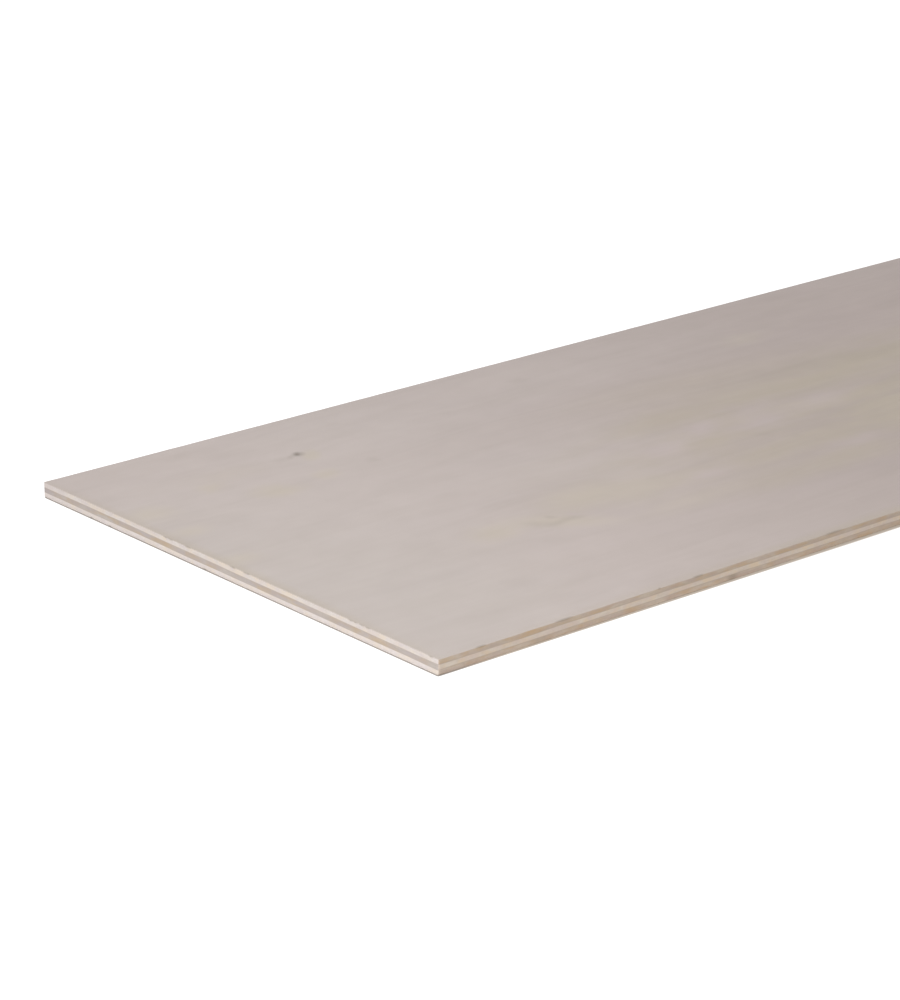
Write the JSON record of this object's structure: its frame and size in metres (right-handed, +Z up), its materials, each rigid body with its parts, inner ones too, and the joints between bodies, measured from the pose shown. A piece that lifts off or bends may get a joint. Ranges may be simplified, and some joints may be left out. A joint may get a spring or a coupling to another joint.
{
  "type": "plywood sheet",
  "caption": "Flat rectangular strip of thin plywood: outer veneers laid along the length over a cross-laid core, edges sawn flush, to be cut, glued or let into a groove.",
  "frame": {"origin": "middle of the underside, on the surface that the sheet lies on", "axes": "+X along the length and the outer plies' grain, +Y across the width and along the core's grain, +Z up through the thickness"},
  "size_m": [0.6, 0.2, 0.005],
  "materials": {
    "face_veneer": "rotary-cut pale poplar veneer, fine sanded, unfinished, grain along the length",
    "core_veneer": "rotary-cut pale poplar veneer, sawn edge, grain across the length",
    "back_veneer": "rotary-cut pale poplar veneer, sanded, unfinished, grain along the length"
  },
  "bodies": {
    "root": {"face_ply": "face_veneer", "core_ply": "core_veneer", "back_ply": "back_veneer"}
  },
  "joints": []
}
